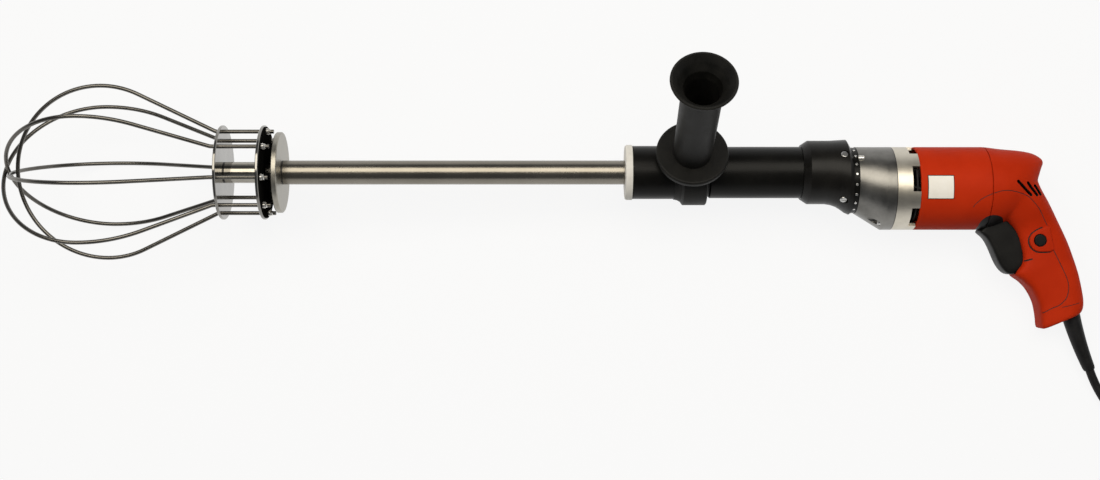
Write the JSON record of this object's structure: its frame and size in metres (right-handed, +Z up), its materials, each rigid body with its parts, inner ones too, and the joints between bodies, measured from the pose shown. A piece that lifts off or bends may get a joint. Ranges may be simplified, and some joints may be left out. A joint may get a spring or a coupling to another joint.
{
  "type": "mixing drill",
  "caption": "Hand-held mixing drill with pistol grip, side handle, long shaft and wire balloon whisk, lying on its side.",
  "frame": {"origin": "bottom centre of the bounding box of the tool lying on its side, without the mains lead", "axes": "+X along the shaft from whisk to handle, level; +Y from grip end to motor; +Z up from the floor"},
  "size_m": [1.3529, 0.4522, 0.2359],
  "materials": {
    "stainless": "polished stainless steel",
    "white_plastic": "satin",
    "black_plastic": "matte",
    "zinc_steel": "machined",
    "cast_aluminium": "cast and brushed",
    "red_plastic": "semi-gloss",
    "fan_plastic": "matte",
    "bronze": "satin",
    "carbon": "matte",
    "label": "satin",
    "rubber": "matte"
  },
  "bodies": {
    "housing": {"front_bush": "white_plastic", "bearing_nose": "black_plastic", "bearing_tube": "black_plastic", "coupling_bell": "black_plastic", "bell_screws": "zinc_steel", "nose_ring": "black_plastic", "nose_ring_pins": "zinc_steel", "gear_case": "cast_aluminium", "case_screws": "zinc_steel", "bearing_plate": "cast_aluminium", "shaft_bearing_outer": "zinc_steel", "spindle_bearing_outer": "zinc_steel", "plain_bushes": "bronze", "armature_bearing_outers": "zinc_steel", "motor_housing": "red_plastic", "field_core": "zinc_steel", "field_coils": "bronze", "brush_holders": "black_plastic", "carbon_brushes": "carbon", "label_plate": "label", "handle_left": "red_plastic", "handle_right": "red_plastic", "handle_screws": "zinc_steel", "switch_body": "black_plastic", "strain_relief": "rubber", "cord_lead": "rubber", "cord_coil": "rubber", "cord_tail": "rubber", "cord_tie": "rubber", "plug_body": "black_plastic", "plug_pins": "bronze"},
    "side_handle": {"handle_clamp": "black_plastic"},
    "side_grip": {"grip_guard": "black_plastic", "side_grip": "black_plastic", "clamp_stud": "zinc_steel"},
    "spindle": {"wire_loop_1": "stainless", "wire_loop_2": "stainless", "wire_loop_3": "stainless", "wire_loop_4": "stainless", "whisk_front_plate": "stainless", "whisk_rear_plate": "stainless", "whisk_hub": "stainless", "shaft_flange": "stainless", "mixing_shaft": "stainless", "drive_coupling": "zinc_steel", "output_spindle": "zinc_steel", "output_gear": "zinc_steel", "shaft_bearing_inner": "zinc_steel", "spindle_bearing_inner": "zinc_steel"},
    "intermediate": {"intermediate_gear": "zinc_steel", "intermediate_shaft": "zinc_steel"},
    "armature": {"armature_shaft": "zinc_steel", "armature_core": "zinc_steel", "commutator": "bronze", "fan": "fan_plastic", "armature_bearing_inners": "zinc_steel"},
    "trigger": {"trigger": "black_plastic"},
    "lock_button": {"lock_button": "black_plastic"}
  },
  "joints": [
    {"name": "output_spin", "type": "hinge", "parent": "housing", "child": "spindle", "pos_m": [0.00178, 0.05836, 0.06624], "axis": [0.9989, 0, -0.0464], "continuous": true},
    {"name": "intermediate_spin", "type": "hinge", "parent": "housing", "child": "intermediate", "pos_m": [0.34039, 0.04641, 0.02853], "axis": [0.9989, 0, -0.0464], "continuous": true},
    {"name": "armature_spin", "type": "hinge", "parent": "housing", "child": "armature", "pos_m": [0.40123, 0.04195, 0.04522], "axis": [0.9989, 0, -0.0464], "continuous": true},
    {"name": "trigger_pull", "type": "slide", "parent": "housing", "child": "trigger", "axis": [0.9522, 0.3056, 0.0017], "range_m": [0, 0.007], "stiffness_N_per_m": 900, "springref_m": -0.004},
    {"name": "lock_press", "type": "slide", "parent": "housing", "child": "lock_button", "axis": [-0.0459, 0.1485, -0.9878], "range_m": [0, 0.0025], "stiffness_N_per_m": 800, "springref_m": -0.002},
    {"name": "side_handle_swivel", "type": "hinge", "parent": "housing", "child": "side_handle", "pos_m": [0.14642, 0.05836, 0.05952], "axis": [0.9989, 0, -0.0464], "range_deg": [-180, 180]},
    {"name": "grip_twist", "type": "hinge", "parent": "side_handle", "child": "side_grip", "pos_m": [0.14906, 0.07736, 0.11637], "axis": [0.044, 0.3166, 0.9475], "range_deg": [0, 180]}
  ],
  "couplings": [
    {"joint": "intermediate_spin", "follows": "output_spin", "ratio": -4},
    {"joint": "armature_spin", "follows": "output_spin", "ratio": 16}
  ]
}
